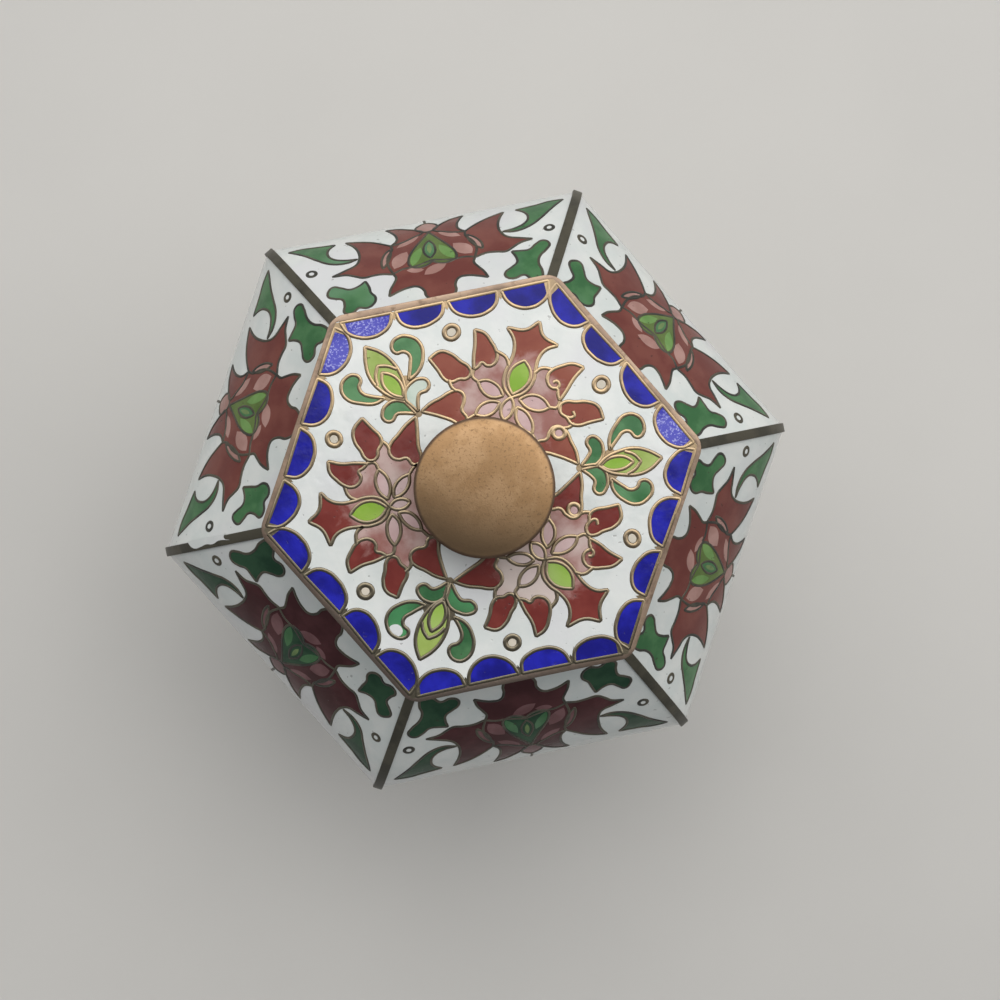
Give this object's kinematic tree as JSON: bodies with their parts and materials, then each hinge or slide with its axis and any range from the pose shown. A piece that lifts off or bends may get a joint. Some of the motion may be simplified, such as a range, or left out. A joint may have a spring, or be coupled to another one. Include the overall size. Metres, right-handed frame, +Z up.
{
  "type": "cloisonne ginger jar",
  "caption": "Small hexagonal enamelled metal ginger jar with bulging sides, a strip on each corner, and a flat lift-off cap lid with a round button knob.",
  "frame": {"origin": "centre of the foot's underside", "axes": "+Z up along the jar's axis; a corner of the hexagon lies on +X and a flat panel faces +Y"},
  "size_m": [0.0886, 0.0774, 0.1016],
  "materials": {
    "white_enamel": "glossy fired enamel, cool white with a faint green cast",
    "aged_brass": "satin, with brown patina",
    "gilt_brass": "worn gilding",
    "dark_brass": "darkened, semi-gloss",
    "wire_brass": "polished flush, tarnished",
    "red_enamel": "glossy fired enamel",
    "pink_enamel": "glossy fired enamel",
    "green_enamel": "glossy fired enamel",
    "lime_enamel": "glossy fired enamel",
    "blue_enamel": "glossy fired enamel",
    "turquoise_enamel": "glossy counter-enamel inside and underneath"
  },
  "bodies": {
    "root": {"jar_body": "white_enamel", "foot_rim": "aged_brass", "mouth_rim": "gilt_brass", "corner_strip_1": "dark_brass", "corner_strip_2": "dark_brass", "corner_strip_3": "dark_brass", "corner_strip_4": "dark_brass", "corner_strip_5": "dark_brass", "corner_strip_6": "dark_brass", "lid_cap": "white_enamel", "lid_edge_band": "gilt_brass", "lid_rim": "gilt_brass", "lid_knob": "aged_brass"}
  },
  "joints": []
}
